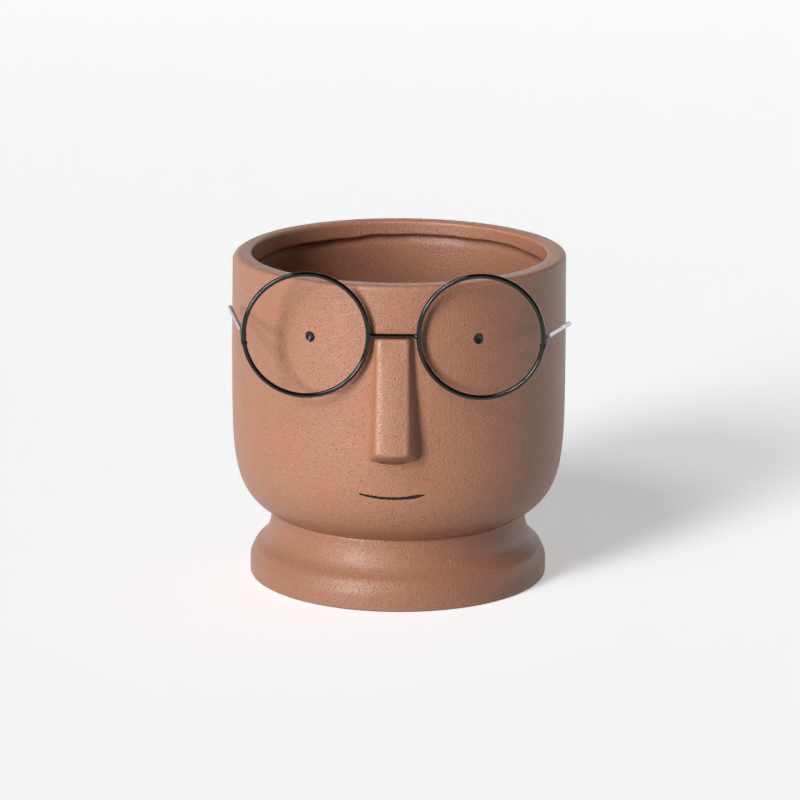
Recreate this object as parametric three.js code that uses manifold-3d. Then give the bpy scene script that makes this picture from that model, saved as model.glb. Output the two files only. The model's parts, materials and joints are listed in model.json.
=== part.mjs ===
// Ceramic flower pot with a face: a lipped bowl on a flared foot, a wedge nose, inlaid eyes and mouth,
// and wire spectacles whose bridge sits on the nose and whose temples swing on small hinges.
// Millimetres, +Z up. The face looks along -Y and the origin is the middle of the underside.

import * as THREE from 'three';
import { ConvexGeometry } from 'three/addons/geometries/ConvexGeometry.js';
import { mergeVertices } from 'three/addons/utils/BufferGeometryUtils.js';
import Module from 'manifold-3d';

const wasm = await Module();
wasm.setup();

// Bowl
const potHeight = 130;
const bowlRadius = 65.9;
const straightWallStart = 86.2;
const wallTangent = 36.6;
const waistTangent = 18.2;
const waistSlope = THREE.MathUtils.degToRad(27);
const wallThickness = 5.8;
const lipThickness = 7.4;
const lipOuterRound = 1.6;
const lipInnerRound = 0.6;
const collarHeight = 6.3;
const collarUndercut = 1.2;

// Foot
const waistRadius = 50.5;
const waistHeight = 26.4;
const seatWidth = 6;
const footRadius = 59.1;
const footWall = 6;
const footEdgeRound = 0.8;
const footBandHeight = 5.1;
const footShoulder = 10.8;
const neckLength = 16.7;
const floorThickness = 6;

// Nose
const noseDrop = 19.7;
const noseLength = 49.5;
const noseDepth = 9.2;
const noseTopWidth = 12;
const noseTipWidth = 12.5;
const noseEdgeRound = 1.3;
const noseSideDraft = THREE.MathUtils.degToRad(18);
const noseUndersideSlope = THREE.MathUtils.degToRad(30.4);
const noseRoot = 12;

// Eyes and mouth
const eyeDrop = 21.5;
const eyeTurn = THREE.MathUtils.degToRad(29.1);
const eyeRadius = 2;
const eyeThickness = 1.2;
const eyeDish = 0.4;
const mouthHeight = 48.65;
const mouthSag = 1.45;
const mouthLeftTurn = THREE.MathUtils.degToRad(-11.6);
const mouthRightTurn = THREE.MathUtils.degToRad(11);
const mouthWidth = 1.1;
const mouthProud = 0.1;

// Spectacles
const rimRadius = 23.4;
const rimSpacing = 65.8;
const rimStandOff = 1.6;
const rimWireRadius = 0.92;
const bridgeRadius = 0.88;
const hingeDrop = 1.1;
const hingeShift = 0.2;
const leafThickness = 0.8;
const leafWidth = 1.8;
const webWidth = 1.4;
const knuckleRadius = 1.05;
const outerKnuckleHeight = 1.1;
const middleKnuckleHeight = 1.3;
const knuckleGap = 0.15;
const pinRadius = 0.5;
const pinClearance = 0.08;
const pinHeadRadius = 0.8;
const pinHeadHeight = 0.3;
const pinHeadGap = 0.05;
const templeNeckWidth = 1;
const templeNeckReach = 2.6;
const templeWireRadius = 0.9;
const templeEndRound = 0.4;
const templeLength = 35;
const leftTipGap = 5.1;
const rightTipGap = 7.4;
const leftTempleRise = THREE.MathUtils.degToRad(4.8);
const rightTempleRise = THREE.MathUtils.degToRad(-2.8);

// Gap between pieces that are shaped to each other
const fitGap = 0.3;

// Facets
const potSegments = 56;
const rimSegments = 48;
const smallSegments = 16;
const wireSides = 8;
const curveSteps = 10;
const roundSteps = 4;
const mouthSteps = 16;
const halvings = 40;

const clay = { color: 0xb07a62, roughness: 0.85, metalness: 0 };
const enamel = { color: 0x1b1b1d, roughness: 0.2, metalness: 0 };
const blackWire = { color: 0x18191b, roughness: 0.3, metalness: 0.4 };
const brightWire = { color: 0xc4c5c8, roughness: 0.25, metalness: 1 };

const upAxis = new THREE.Vector3(0, 0, 1);

// Places that several pieces share
const throatRadius = waistRadius - seatWidth;
const noseTop = potHeight - noseDrop;
const noseTopDepth = rimStandOff + bridgeRadius;
const spectaclePlane = -(bowlRadius + rimStandOff);
const spectacleHeight = noseTop + fitGap + bridgeRadius;
const hingeHeight = 2 * outerKnuckleHeight + 2 * knuckleGap + middleKnuckleHeight;
const hingeX = rimSpacing / 2 + rimRadius + hingeShift;
const leafFront = rimWireRadius + fitGap;
const hingeOffset = leafFront + leafThickness + fitGap + knuckleRadius;
const hingeY = spectaclePlane + hingeOffset;
const hingeZ = spectacleHeight - hingeDrop;
const boreRadius = pinRadius + pinClearance;

// Closed solid of a three.js geometry, with the triangles that shrink to nothing on an axis left out.
function toSolid(geometry) {
  const bare = geometry.clone();
  bare.deleteAttribute('normal');
  bare.deleteAttribute('uv');
  const merged = mergeVertices(bare);
  const corners = merged.index.array;
  const triangles = [];
  for (let i = 0; i < corners.length; i += 3) {
    const [a, b, c] = corners.subarray(i, i + 3);
    if (a !== b && b !== c && c !== a) triangles.push(a, b, c);
  }
  return new wasm.Manifold(new wasm.Mesh({
    numProp: 3,
    vertProperties: merged.attributes.position.array,
    triVerts: Uint32Array.from(triangles),
  }));
}

// Three.js geometry of a solid.
function toGeometry(solid) {
  const { vertProperties, triVerts } = solid.getMesh();
  const geometry = new THREE.BufferGeometry();
  geometry.setAttribute('position', new THREE.Float32BufferAttribute(vertProperties, 3));
  geometry.setIndex(new THREE.Uint32BufferAttribute(triVerts, 1));
  geometry.computeVertexNormals();
  return geometry;
}

// Outline of (radius, height) points turned about the Z axis.
function turned(outline, segments) {
  return new THREE.LatheGeometry(outline, segments).rotateX(Math.PI / 2);
}

// Points of a round edge about (radius, height), from one angle to another.
function roundEdge(radius, height, round, from, to) {
  const arc = new THREE.EllipseCurve(radius, height, round, round, from, to, to < from);
  return arc.getPoints(roundSteps);
}

// Upright cylinder about the Z axis between two heights.
function post(radius, low, high) {
  const cylinder = new THREE.CylinderGeometry(radius, radius, high - low, smallSegments);
  return cylinder.rotateX(Math.PI / 2).translate(0, 0, (low + high) / 2);
}

// Box between two corners.
function block(low, high) {
  const size = new THREE.Vector3().subVectors(high, low);
  const middle = new THREE.Vector3().addVectors(low, high).divideScalar(2);
  return new THREE.BoxGeometry(size.x, size.y, size.z).translate(middle.x, middle.y, middle.z);
}

function namedMesh(name, geometry, finish) {
  const mesh = new THREE.Mesh(geometry, new THREE.MeshStandardMaterial(finish));
  mesh.name = name;
  return mesh;
}

// The bowl's curve from the waist to the straight wall, for a wall shifted inwards by two amounts.
function bowlCurve(waistShift, wallShift) {
  const waist = waistRadius - waistShift;
  const wall = bowlRadius - wallShift;
  const waistReach = waistTangent * Math.cos(waistSlope);
  const waistRise = waistTangent * Math.sin(waistSlope);
  return new THREE.CubicBezierCurve(
    new THREE.Vector2(waist, waistHeight),
    new THREE.Vector2(waist + waistReach, waistHeight + waistRise),
    new THREE.Vector2(wall, straightWallStart - wallTangent),
    new THREE.Vector2(wall, straightWallStart),
  );
}

const outerCurve = bowlCurve(0, 0);

// Radius of the bowl's outside at a height, found on the curve by halving.
function wallRadius(height) {
  if (height >= straightWallStart) return bowlRadius;
  let low = 0;
  let high = 1;
  for (let i = 0; i < halvings; i += 1) {
    const middle = (low + high) / 2;
    if (outerCurve.getPoint(middle).y < height) low = middle;
    else high = middle;
  }
  return outerCurve.getPoint(low).x;
}

// Point at a depth inside the bowl's outside, at a turn from the middle of the face.
function wallPoint(turn, height, depth) {
  const radius = wallRadius(height) - depth;
  return new THREE.Vector3(radius * Math.sin(turn), -radius * Math.cos(turn), height);
}

// Turn that points the Z axis straight out of the wall.
function outOfWall(turn) {
  const outward = new THREE.Vector3(Math.sin(turn), -Math.cos(turn), 0);
  return new THREE.Quaternion().setFromUnitVectors(upAxis, outward);
}

// Outside of the bowl from the waist up and over the lip's outer round.
function bowlOutside() {
  const round = Math.min(lipOuterRound, lipThickness - lipInnerRound);
  return [
    ...outerCurve.getPoints(curveSteps),
    ...roundEdge(bowlRadius - round, potHeight - round, round, 0, Math.PI / 2),
  ];
}

// Solid that fills the bowl to its outside and a gap beyond, for shaping what is luted on the wall.
function bowlEnvelope() {
  const outside = bowlOutside().map((point) => new THREE.Vector2(point.x + fitGap, point.y));
  return toSolid(turned([
    new THREE.Vector2(0, waistHeight),
    ...outside,
    new THREE.Vector2(0, potHeight),
  ], potSegments));
}

function bowlBody() {
  const lipInside = bowlRadius - lipThickness;
  const collarFoot = potHeight - collarHeight;
  const outside = bowlOutside();
  return toSolid(turned([
    ...outside,
    ...roundEdge(lipInside + lipInnerRound, potHeight - lipInnerRound, lipInnerRound, Math.PI / 2, Math.PI),
    new THREE.Vector2(lipInside, collarFoot),
    new THREE.Vector2(bowlRadius - wallThickness, collarFoot - collarUndercut),
    ...bowlCurve(seatWidth, wallThickness).getPoints(curveSteps).reverse(),
    outside[0].clone(),
  ], potSegments));
}

// Line of the mouth: a shallow smile on the wall, longer than the inlay by an overrun at each end.
class MouthLine extends THREE.Curve {
  constructor(overrun) {
    super();
    this.overrunTurn = overrun / wallRadius(mouthHeight);
  }

  getPoint(t, target = new THREE.Vector3()) {
    const from = mouthLeftTurn - this.overrunTurn;
    const to = mouthRightTurn + this.overrunTurn;
    const height = mouthHeight - 4 * mouthSag * t * (1 - t);
    return target.copy(wallPoint(from + (to - from) * t, height, mouthWidth / 2 - mouthProud));
  }
}

// Round strand along the mouth's line, wider and longer than the inlay by a margin.
function mouthStrand(margin) {
  const section = new THREE.Shape().absarc(0, 0, mouthWidth / 2 + margin, 0, 2 * Math.PI);
  return new THREE.ExtrudeGeometry(section, {
    curveSegments: wireSides / 2,
    steps: mouthSteps,
    bevelEnabled: false,
    extrudePath: new MouthLine(margin),
  });
}

// Pocket that an eye is set into, open at the wall.
function eyePocket(turn) {
  const floor = eyeThickness + fitGap;
  const place = wallPoint(turn, potHeight - eyeDrop, 0);
  return post(eyeRadius + fitGap, -floor, floor)
    .applyQuaternion(outOfWall(turn))
    .translate(place.x, place.y, place.z);
}

function bowl() {
  const body = bowlBody()
    .subtract(toSolid(eyePocket(-eyeTurn)))
    .subtract(toSolid(eyePocket(eyeTurn)))
    .subtract(toSolid(mouthStrand(fitGap)));
  return namedMesh('bowl', toGeometry(body), clay);
}

// Curve of the foot from its neck at the waist down to its widest radius.
function footCurve(neckRadius, widestRadius, bandTop) {
  return new THREE.CubicBezierCurve(
    new THREE.Vector2(neckRadius, waistHeight),
    new THREE.Vector2(neckRadius, waistHeight - neckLength),
    new THREE.Vector2(widestRadius, bandTop + footShoulder),
    new THREE.Vector2(widestRadius, bandTop),
  );
}

function foot() {
  const edge = footRadius - footEdgeRound;
  return namedMesh('foot', turned([
    new THREE.Vector2(0, 0),
    ...roundEdge(edge, footEdgeRound, footEdgeRound, -Math.PI / 2, 0),
    ...footCurve(waistRadius, footRadius, footBandHeight).getPoints(curveSteps).reverse(),
    ...footCurve(throatRadius, footRadius - footWall, floorThickness).getPoints(curveSteps),
    new THREE.Vector2(0, floorThickness),
  ], potSegments), clay);
}

// Half outline of the nose at one level, from its root inside the wall round to the middle of its front.
// Its height at a distance out from the wall is given by a function, so the underside can slope.
function noseLevel(frontHalfWidth, depth, heightAt, side) {
  const spread = Math.tan(noseSideDraft);
  const at = (halfWidth, out) => new THREE.Vector3(side * halfWidth, -(bowlRadius + out), heightAt(out));
  const corner = at(frontHalfWidth, depth);
  const along = Math.min(noseEdgeRound, depth / 2);
  const sideStart = at(frontHalfWidth + along * spread, depth - along);
  const frontEnd = at(frontHalfWidth - noseEdgeRound, depth);
  return [
    at(frontHalfWidth + (depth + noseRoot) * spread, -noseRoot),
    ...new THREE.QuadraticBezierCurve3(sideStart, corner, frontEnd).getPoints(roundSteps),
  ];
}

function nose() {
  const underside = (out) => noseTop - noseLength + out * Math.tan(noseUndersideSlope);
  const points = [-1, 1].flatMap((side) => [
    ...noseLevel(noseTopWidth / 2, noseTopDepth, () => noseTop, side),
    ...noseLevel(noseTipWidth / 2, noseDepth, underside, side),
  ]);
  const wedge = toSolid(new ConvexGeometry(points)).subtract(bowlEnvelope());
  return namedMesh('nose', toGeometry(wedge), clay);
}

// Disc of enamel, set flush with the wall and dished to a shallow bowl.
function eye(name, turn) {
  const dish = new THREE.QuadraticBezierCurve(
    new THREE.Vector2(eyeRadius, 0),
    new THREE.Vector2(eyeRadius / 2, -eyeDish),
    new THREE.Vector2(0, -eyeDish),
  );
  const disc = turned([
    new THREE.Vector2(0, -eyeThickness),
    new THREE.Vector2(eyeRadius, -eyeThickness),
    ...dish.getPoints(roundSteps),
  ], smallSegments);
  const mesh = namedMesh(name, disc, enamel);
  mesh.position.copy(wallPoint(turn, potHeight - eyeDrop, 0));
  mesh.quaternion.copy(outOfWall(turn));
  return mesh;
}

function mouth() {
  return namedMesh('mouth', mouthStrand(0), enamel);
}

// The spectacles' own frame has its origin in the middle of the bridge.
function rim(name, side) {
  const ring = new THREE.TorusGeometry(rimRadius, rimWireRadius, wireSides, rimSegments).rotateX(Math.PI / 2);
  const mesh = namedMesh(name, ring, blackWire);
  mesh.position.x = side * rimSpacing / 2;
  return mesh;
}

function bridge() {
  const length = rimSpacing - 2 * (rimRadius + rimWireRadius + fitGap);
  const rod = new THREE.CylinderGeometry(bridgeRadius, bridgeRadius, length, wireSides).rotateZ(Math.PI / 2);
  return namedMesh('bridge', rod, blackWire);
}

// Leaf brazed behind the rim with an upper and a lower knuckle, about the hinge's axis.
function hingeLeaf(name) {
  const half = hingeHeight / 2;
  const inner = half - outerKnuckleHeight;
  const front = leafFront - hingeOffset;
  const leaf = block(
    new THREE.Vector3(-leafWidth / 2, front, -half),
    new THREE.Vector3(leafWidth / 2, front + leafThickness, half),
  );
  const web = (low, high) => block(
    new THREE.Vector3(-webWidth / 2, front, low),
    new THREE.Vector3(webWidth / 2, 0, high),
  );
  const body = toSolid(leaf)
    .add(toSolid(web(inner, half)))
    .add(toSolid(web(-half, -inner)))
    .add(toSolid(post(knuckleRadius, inner, half)))
    .add(toSolid(post(knuckleRadius, -half, -inner)))
    .subtract(toSolid(post(boreRadius, -hingeHeight, hingeHeight)));
  return namedMesh(name, toGeometry(body), blackWire);
}

// Pin through the knuckles, with a flat head at each end.
function hingePin(name) {
  const shank = hingeHeight / 2 + pinHeadGap;
  const end = shank + pinHeadHeight;
  return namedMesh(name, turned([
    new THREE.Vector2(0, -end),
    new THREE.Vector2(pinHeadRadius, -end),
    new THREE.Vector2(pinHeadRadius, -shank),
    new THREE.Vector2(pinRadius, -shank),
    new THREE.Vector2(pinRadius, shank),
    new THREE.Vector2(pinHeadRadius, shank),
    new THREE.Vector2(pinHeadRadius, end),
    new THREE.Vector2(0, end),
  ], smallSegments), blackWire);
}

// Temple along +Y from the hinge's axis: a middle knuckle, a flat neck and a cut wire that rises.
function templeBody(rise) {
  const half = middleKnuckleHeight / 2;
  const wireStart = knuckleRadius + fitGap;
  const round = Math.min(templeEndRound, templeWireRadius);
  const wire = turned([
    new THREE.Vector2(0, wireStart),
    new THREE.Vector2(templeWireRadius, wireStart),
    ...roundEdge(templeWireRadius - round, templeLength - round, round, 0, Math.PI / 2),
    new THREE.Vector2(0, templeLength),
  ], wireSides).rotateX(rise - Math.PI / 2);
  const neck = block(
    new THREE.Vector3(-templeNeckWidth / 2, 0, -half),
    new THREE.Vector3(templeNeckWidth / 2, templeNeckReach, half),
  );
  return toSolid(post(knuckleRadius, -half, half))
    .add(toSolid(neck))
    .add(toSolid(wire))
    .subtract(toSolid(post(boreRadius, -hingeHeight, hingeHeight)));
}

// Outward turn that brings a temple's tip to a gap off the wall.
function templeSplay(tipGap, rise) {
  const reach = templeLength * Math.cos(rise);
  const toAxis = Math.hypot(hingeX, hingeY);
  const tipRadius = bowlRadius + tipGap;
  const cosine = (toAxis ** 2 + reach ** 2 - tipRadius ** 2) / (2 * toAxis * reach);
  return Math.acos(cosine) - Math.atan2(hingeX, -hingeY);
}

function temple(name, side, tipGap, rise) {
  const mesh = namedMesh(name, toGeometry(templeBody(rise)), brightWire);
  mesh.rotation.z = -side * templeSplay(tipGap, rise);
  return mesh;
}

// One side of the spectacles: its rim, and its hinge and temple in a group on the hinge's axis.
function spectacleSide(word, side, tipGap, rise) {
  const half = new THREE.Group();
  const hinge = new THREE.Group();
  hinge.position.set(side * hingeX, hingeY - spectaclePlane, hingeZ - spectacleHeight);
  hinge.add(
    hingeLeaf(`${word}_hinge_leaf`),
    hingePin(`${word}_hinge_pin`),
    temple(`${word}_temple`, side, tipGap, rise),
  );
  half.add(rim(`${word}_rim`, side), hinge);
  return half;
}

function spectacles() {
  const group = new THREE.Group();
  group.position.set(0, spectaclePlane, spectacleHeight);
  group.add(
    bridge(),
    spectacleSide('left', -1, leftTipGap, leftTempleRise),
    spectacleSide('right', 1, rightTipGap, rightTempleRise),
  );
  return group;
}

const flowerPot = new THREE.Group();
flowerPot.add(
  bowl(),
  foot(),
  nose(),
  eye('left_eye', -eyeTurn),
  eye('right_eye', eyeTurn),
  mouth(),
  spectacles(),
);

export default flowerPot;
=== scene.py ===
"""Ceramic flower pot with a face and wire spectacles, dressed round its packed model.

Sizes are in metres and angles in radians. The pot stands on z = 0 about the Z axis and its face looks
along -Y. A turn is an angle about that axis from the middle of the face, positive towards +X.
"""

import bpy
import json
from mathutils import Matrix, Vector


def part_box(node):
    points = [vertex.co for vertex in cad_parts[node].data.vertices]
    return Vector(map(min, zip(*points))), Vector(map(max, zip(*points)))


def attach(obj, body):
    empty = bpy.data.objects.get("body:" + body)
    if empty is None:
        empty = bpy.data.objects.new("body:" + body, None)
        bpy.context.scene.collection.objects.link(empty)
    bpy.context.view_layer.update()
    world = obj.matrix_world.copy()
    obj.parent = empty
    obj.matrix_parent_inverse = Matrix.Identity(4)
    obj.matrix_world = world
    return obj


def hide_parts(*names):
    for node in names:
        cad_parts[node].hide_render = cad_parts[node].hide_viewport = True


bl_info = {
    "name": "Spectacled flower pot",
    "version": (1, 0, 0),
    "blender": (4, 5, 0),
    "location": "View3D > Sidebar > Flower pot",
    "description": "Clay pot with a wedge nose, enamel eyes and mouth, and wire spectacles that lift off",
    "category": "Add Mesh",
}

import json
import math

import bpy
import numpy as np
from bpy.props import FloatProperty, FloatVectorProperty, PointerProperty
from mathutils import Matrix, Vector

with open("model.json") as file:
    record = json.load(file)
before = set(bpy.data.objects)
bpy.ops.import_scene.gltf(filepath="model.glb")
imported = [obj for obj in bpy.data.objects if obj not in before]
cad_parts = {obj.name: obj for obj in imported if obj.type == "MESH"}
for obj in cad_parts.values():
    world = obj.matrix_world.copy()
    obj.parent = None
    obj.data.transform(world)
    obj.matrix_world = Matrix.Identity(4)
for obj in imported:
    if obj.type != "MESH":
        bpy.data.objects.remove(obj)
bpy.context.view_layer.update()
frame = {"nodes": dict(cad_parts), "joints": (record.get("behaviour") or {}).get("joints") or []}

# Places of the packed solids that the sizes below start from
bowl_low, bowl_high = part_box("bowl")
foot_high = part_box("foot")[1]
nose_low, nose_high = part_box("nose")
rim_low, rim_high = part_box("right_rim")
bridge_low, bridge_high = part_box("bridge")
hinges = {joint["child"]: Vector(joint["pos_m"]) for joint in frame["joints"] if "pos_m" in joint}

TURN = 2 * math.pi
# Reach of an eye's pocket and of the brim of its enamel, as a share of the eye's radius
EYE_BRIM = 1.03


def length(name, description, default):
    """A size in metres that a user can change."""
    kind = {"min": 0.0, "precision": 5, "subtype": "DISTANCE", "unit": "LENGTH"}
    return FloatProperty(name=name, description=description, default=default, **kind)


def angle(name, description, degrees):
    """An angle that a user can change, given in degrees and kept in radians."""
    kind = {"subtype": "ANGLE", "unit": "ROTATION"}
    return FloatProperty(name=name, description=description, default=math.radians(degrees), **kind)


def amount(name, description, default, most=1.0):
    """A plain number from nothing to a most."""
    kind = {"min": 0.0, "max": most, "subtype": "FACTOR" if most == 1.0 else "NONE"}
    return FloatProperty(name=name, description=description, default=default, **kind)


def colour(name, description, default):
    """A linear colour that a user can change."""
    kind = {"size": 3, "min": 0.0, "max": 1.0, "subtype": "COLOR"}
    return FloatVectorProperty(name=name, description=description, default=default, **kind)


class PotSizes(bpy.types.PropertyGroup):
    """Sizes of the bowl and of the foot under it."""

    radius: length("Bowl radius", "Outside of the bowl's straight wall", bowl_high.x)
    height: length("Pot height", "From the table to the top of the lip", bowl_high.z)
    wall: length("Wall", "Thickness of the bowl's wall", 0.0058)
    wall_start: length("Wall start", "Height where the curved underside becomes the straight wall", 0.0862)
    wall_reach: length("Wall reach", "Pull of the curve below the straight wall", 0.0366)
    lip: length("Lip", "Thickness of the lip", 0.0074)
    lip_round: length("Lip round", "Radius of the lip's outer edge", 0.0016)
    lip_edge: length("Lip edge", "Radius of the lip's inner edge", 0.0009)
    lip_soft: length("Soft lip", "How much rounder the lip's outer edge is where it is softest", 0.0022)
    lip_soft_turn: angle("Soft lip turn", "Where the lip is softest", -105.0)
    lean: length("Lean", "How far the straight wall leans in at the lip", 0.00045)
    collar: length("Collar", "Least depth of the collar inside the lip", 0.0057)
    collar_side: length("Collar at the sides", "How much deeper the collar is at the sides", 0.0011)
    collar_lap: length("Collar lap", "Step where the coil of the collar laps over its own end", 0.0011)
    crease: length("Crease", "Depth of the crease under the collar", 0.0009)
    waist_radius: length("Waist radius", "Where the bowl meets the foot", 0.0505)
    waist_height: length("Waist height", "Height of the joint between bowl and foot", bowl_low.z)
    waist_reach: length("Waist reach", "Pull of the bowl's curve at the waist", 0.0182)
    waist_slope: angle("Waist slope", "Rise of the bowl's underside at the waist", 27.0)
    seat: length("Seat", "Width of the joint between bowl and foot", 0.006)
    foot_radius: length("Foot radius", "Widest radius of the foot", foot_high.x)
    foot_wall: length("Foot wall", "Thickness of the foot's wall", 0.006)
    foot_edge: length("Foot edge", "Radius of the foot's lower edge", 0.0008)
    foot_band: length("Foot band", "Height of the foot's widest ring", 0.0051)
    foot_shoulder: length("Foot shoulder", "Pull of the foot's curve above its widest ring", 0.0108)
    foot_neck: length("Foot neck", "Pull of the foot's curve below the waist", 0.0167)
    foot_groove: length("Foot groove", "Depth of the shallow groove above the foot's lower roll", 0.00038)
    groove_height: length("Groove height", "Height of that groove", 0.0098)
    floor: length("Floor", "Thickness of the floor in the foot", 0.006)
    joint_line: length("Joint line", "Depth of the fine line where bowl and foot are luted", 0.0003)
    joint_width: length("Joint width", "Half width of that line", 0.0005)
    unevenness: length("Unevenness", "How far the hand-finished wall falls short of a true round", 0.00012)


class FaceSizes(bpy.types.PropertyGroup):
    """Sizes of the nose, the eyes and the mouth."""

    nose_top: length("Nose top", "Height of the top of the nose", nose_high.z)
    nose_foot: length("Nose foot", "Height where the underside of the nose meets the wall's round", 0.0608)
    nose_depth: length("Nose depth", "How far the tip stands out of the bowl", bowl_low.y - nose_low.y)
    nose_top_depth: length("Nose top depth", "How far the top stands out of the bowl", 0.00248)
    nose_top_width: length("Nose top width", "Width of the front face at the top", 0.012)
    nose_tip_width: length("Nose tip width", "Width of the front face at the tip", 0.0125)
    nose_edge: length("Nose edge", "Radius of the edges beside the front face", 0.0016)
    nose_end: length("Nose end", "Radius of the edges at the top and the tip", 0.0013)
    nose_crown: length("Nose crown", "How far the front face falls away beside its middle", 0.00035)
    nose_belly: length("Nose belly", "How far the corners of the underside rise above its middle", 0.0021)
    nose_draft: angle("Nose draft", "Slope of the sides of the nose", 18.0)
    nose_slope: angle("Nose underside", "Rise of the underside towards the front", 30.4)
    nose_fillet: length("Nose fillet", "Width of the smoothed joint between nose and wall", 0.0005)
    nose_root: length("Nose root", "How deep the nose reaches into the wall", 0.0017)
    pit_across: length("Pit across", "How far the pinhole lies right of the middle", 0.00096)
    pit_height: length("Pit height", "Height of the pinhole", 0.0955)
    pit_depth: length("Pit depth", "Depth of the pinhole in the front of the nose", 0.0005)
    pit_radius: length("Pit radius", "Radius of that pinhole", 0.00026)
    eye_radius: length("Eye radius", "Radius of the enamelled dimple", 0.0020)
    eye_dish: length("Eye dish", "Depth of the dimple", 0.0009)
    eye_pocket: length("Eye pocket", "Depth of the clay under the enamel", 0.0013)
    mouth_height: length("Mouth height", "Height of the ends of the mouth", 0.04865)
    mouth_sag: length("Mouth sag", "How far the middle of the mouth drops", 0.00145)
    mouth_left: angle("Mouth left", "Turn of the mouth's left end", -11.6)
    mouth_right: angle("Mouth right", "Turn of the mouth's right end", 11.0)
    mouth_width: length("Mouth width", "Width of the line at its widest", 0.0012)
    mouth_depth: length("Mouth depth", "Depth of the scratched line", 0.00045)
    mouth_groove: length("Mouth groove", "Depth of the clay under the mouth's enamel", 0.000675)


class SpectacleSizes(bpy.types.PropertyGroup):
    """Sizes of the wire spectacles."""

    rim_radius: length("Rim radius", "Radius of a rim at the middle of its wire", 0.0234)
    rim_wire: length("Rim wire", "Radius of the rim's wire", (rim_high.y - rim_low.y) / 2)
    bridge_wire: length("Bridge wire", "Radius of the bridge's wire", (bridge_high.z - bridge_low.z) / 2)
    braze: length("Braze", "How far the braze swells the ends of the bridge", 0.00026)
    braze_reach: length("Braze reach", "How far the braze runs along the bridge", 0.0005)
    leaf_thickness: length("Leaf thickness", "Thickness of the leaf behind the rim", 0.0008)
    web_width: length("Web width", "Width between the leaf and its knuckles", 0.0014)
    knuckle_radius: length("Knuckle radius", "Outside of the hinge's knuckles", 0.00105)
    knuckle_outer: length("Outer knuckle", "Height of the upper and the lower knuckle", 0.0011)
    knuckle_middle: length("Middle knuckle", "Height of the temple's knuckle", 0.0013)
    bore: length("Bore", "Radius of the hole through the knuckles", 0.00058)
    pin_radius: length("Pin radius", "Radius of the hinge's pin", 0.0005)
    pin_head: length("Pin head", "Thickness of the pin's heads", 0.0003)
    temple_wire: length("Temple wire", "Radius of the temple's wire", 0.00088)
    temple_end: length("Temple end", "Radius of the edge of the temple's cut end", 0.0004)
    temple_bare: length("Temple bare", "Where the temple's lacquer ends, from its hinge", 0.0055)
    binding_below: length("Binding below", "How far the binding starts below the hinge's leaf", 0.0009)
    binding_above: length("Binding above", "How far the binding climbs past that end of the leaf", 0.0005)
    binding_wire: length("Binding wire", "Radius of the wire bound round the rim at each hinge", 0.00014)
    temple_neck: length("Temple neck", "Half width of the temple where it is hammered flat", 0.0005)
    edge: length("Edge", "Radius of the small parts' edges", 0.0002)


class Finishes(bpy.types.PropertyGroup):
    """Colours and shine of the pot and the spectacles."""

    clay: colour("Clay", "Fired clay", (0.482, 0.198, 0.110))
    clay_warm: colour("Warm clay", "Redder patches in the clay", (0.482, 0.190, 0.102))
    clay_pit: colour("Pits", "Dust in the pits of the clay", (0.120, 0.052, 0.034))
    clay_grain: colour("Sand", "Pale grains of sand on the clay", (0.720, 0.440, 0.310))
    # Painted shade: a darker clay colour mixed in inside the bowl, most in the crease under the collar, and
    # more and more towards the bottom of the pot
    clay_painted_shade: colour("Painted shade", "Darker clay inside the bowl and low on the foot", (0.240, 0.095, 0.056))
    painted_shade_inside: amount("Painted shade inside", "Share of the darker clay inside the bowl", 0.34)
    painted_shade_foot: amount("Painted shade low", "Share of the darker clay at the bottom of the foot", 0.38)
    clay_rough: amount("Clay roughness", "Roughness of the clay between its grains", 0.48)
    sand_rough: amount("Sand roughness", "Roughness on the grains of sand", 0.29)
    enamel: colour("Enamel", "Black enamel of the eyes and the mouth", (0.012, 0.012, 0.014))
    enamel_dust: colour("Enamel dust", "Dust fired into the enamel", (0.05, 0.045, 0.045))
    lacquer: colour("Lacquer", "Black lacquer on the wire", (0.0025, 0.0027, 0.0035))
    lacquer_dust: colour("Lacquer dust", "Dust in the lacquer", (0.010, 0.010, 0.011))
    bare_wire: colour("Bare wire", "Metal that shows past the lacquer", (0.520, 0.520, 0.530))
    # Painted highlight: pale sand colour on the nose's front edges, the lit left one more than the right,
    # and less roughness there
    rubbed: amount("Painted edge highlight", "Share of pale sand colour painted on the nose's edges as a highlight", 0.35)
    edge_highlight_smoothing: amount("Edge highlight smoothing", "How much smoother the highlighted edges of the nose are", 0.12)
    grain_height: length("Grain height", "Height of the sandy grain", 0.0003)
    sweep: colour("Sweep", "Pale floor and backdrop of the studio", (0.880, 0.880, 0.895))
    floor_bounce: colour("Floor bounce", "What the floor throws back on the pot", (0.22, 0.22, 0.22))


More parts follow.
